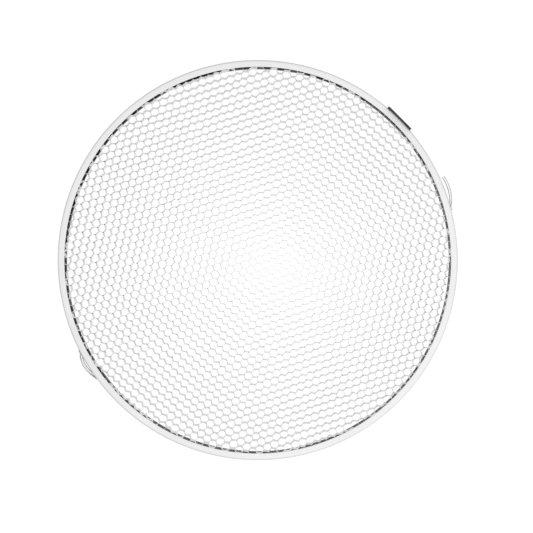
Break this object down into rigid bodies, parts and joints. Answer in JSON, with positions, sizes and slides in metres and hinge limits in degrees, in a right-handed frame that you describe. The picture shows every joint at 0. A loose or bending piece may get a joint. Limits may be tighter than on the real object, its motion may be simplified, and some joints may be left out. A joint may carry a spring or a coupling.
{
  "type": "honeycomb grid",
  "caption": "Round honeycomb light grid: a foil core in a rolled U-section ring, with a foam seat, a pull tab and bowed leaf springs that grip the reflector's mouth.",
  "frame": {"origin": "on the ring's axis, at its back face, which the grid lies on", "axes": "+Z along the optical axis, out of the front face; +X to the picture's right and +Y to its top"},
  "size_m": [0.163, 0.163, 0.018],
  "materials": {
    "ring_aluminium": "satin",
    "core_foil": "bright",
    "black_foam": "matte",
    "tab_black": "satin",
    "rivet_black": "satin",
    "spring_steel": "bright",
    "rivet_steel": "satin"
  },
  "bodies": {
    "grid": {"frame_ring": "ring_aluminium", "seat_gasket": "black_foam", "pull_tab": "tab_black", "tab_rivets": "rivet_black", "right_spring_foot": "spring_steel", "right_spring_rivets": "rivet_steel", "left_spring_foot": "spring_steel", "left_spring_rivets": "rivet_steel", "core_band_01": "core_foil", "core_band_02": "core_foil", "core_band_03": "core_foil", "core_band_04": "core_foil", "core_band_05": "core_foil", "core_band_06": "core_foil", "core_band_07": "core_foil", "core_band_08": "core_foil", "core_band_09": "core_foil", "core_band_10": "core_foil", "core_band_11": "core_foil", "core_band_12": "core_foil", "core_band_13": "core_foil", "core_band_14": "core_foil", "core_band_15": "core_foil", "core_band_16": "core_foil", "core_band_17": "core_foil", "core_band_18": "core_foil", "core_band_19": "core_foil", "core_band_20": "core_foil", "core_band_21": "core_foil", "core_band_22": "core_foil", "core_band_23": "core_foil", "core_band_24": "core_foil", "core_band_25": "core_foil"},
    "right_leaf": {"right_spring_blade": "spring_steel"},
    "left_leaf": {"left_spring_blade": "spring_steel"},
    "left_leaf_tip": {"left_spring_tip": "spring_steel"}
  },
  "joints": [
    {"name": "right_spring_press", "type": "hinge", "parent": "grid", "child": "right_leaf", "pos_m": [0.0787, 0.02183, 0.008], "axis": [0, 0, 1], "range_deg": [0, 7.2], "stiffness_Nm_per_rad": 1.6},
    {"name": "left_spring_press", "type": "hinge", "parent": "grid", "child": "left_leaf", "pos_m": [-0.07228, -0.03803, 0.008], "axis": [0, 0, 1], "range_deg": [0, 10], "stiffness_Nm_per_rad": 1.6},
    {"name": "left_spring_flatten", "type": "hinge", "parent": "left_leaf", "child": "left_leaf_tip", "pos_m": [-0.07105, -0.04315, 0.008], "axis": [0, 0, 1], "range_deg": [-16.6, 0]}
  ],
  "couplings": [
    {"joint": "left_spring_flatten", "follows": "left_spring_press", "ratio": -1.66}
  ]
}
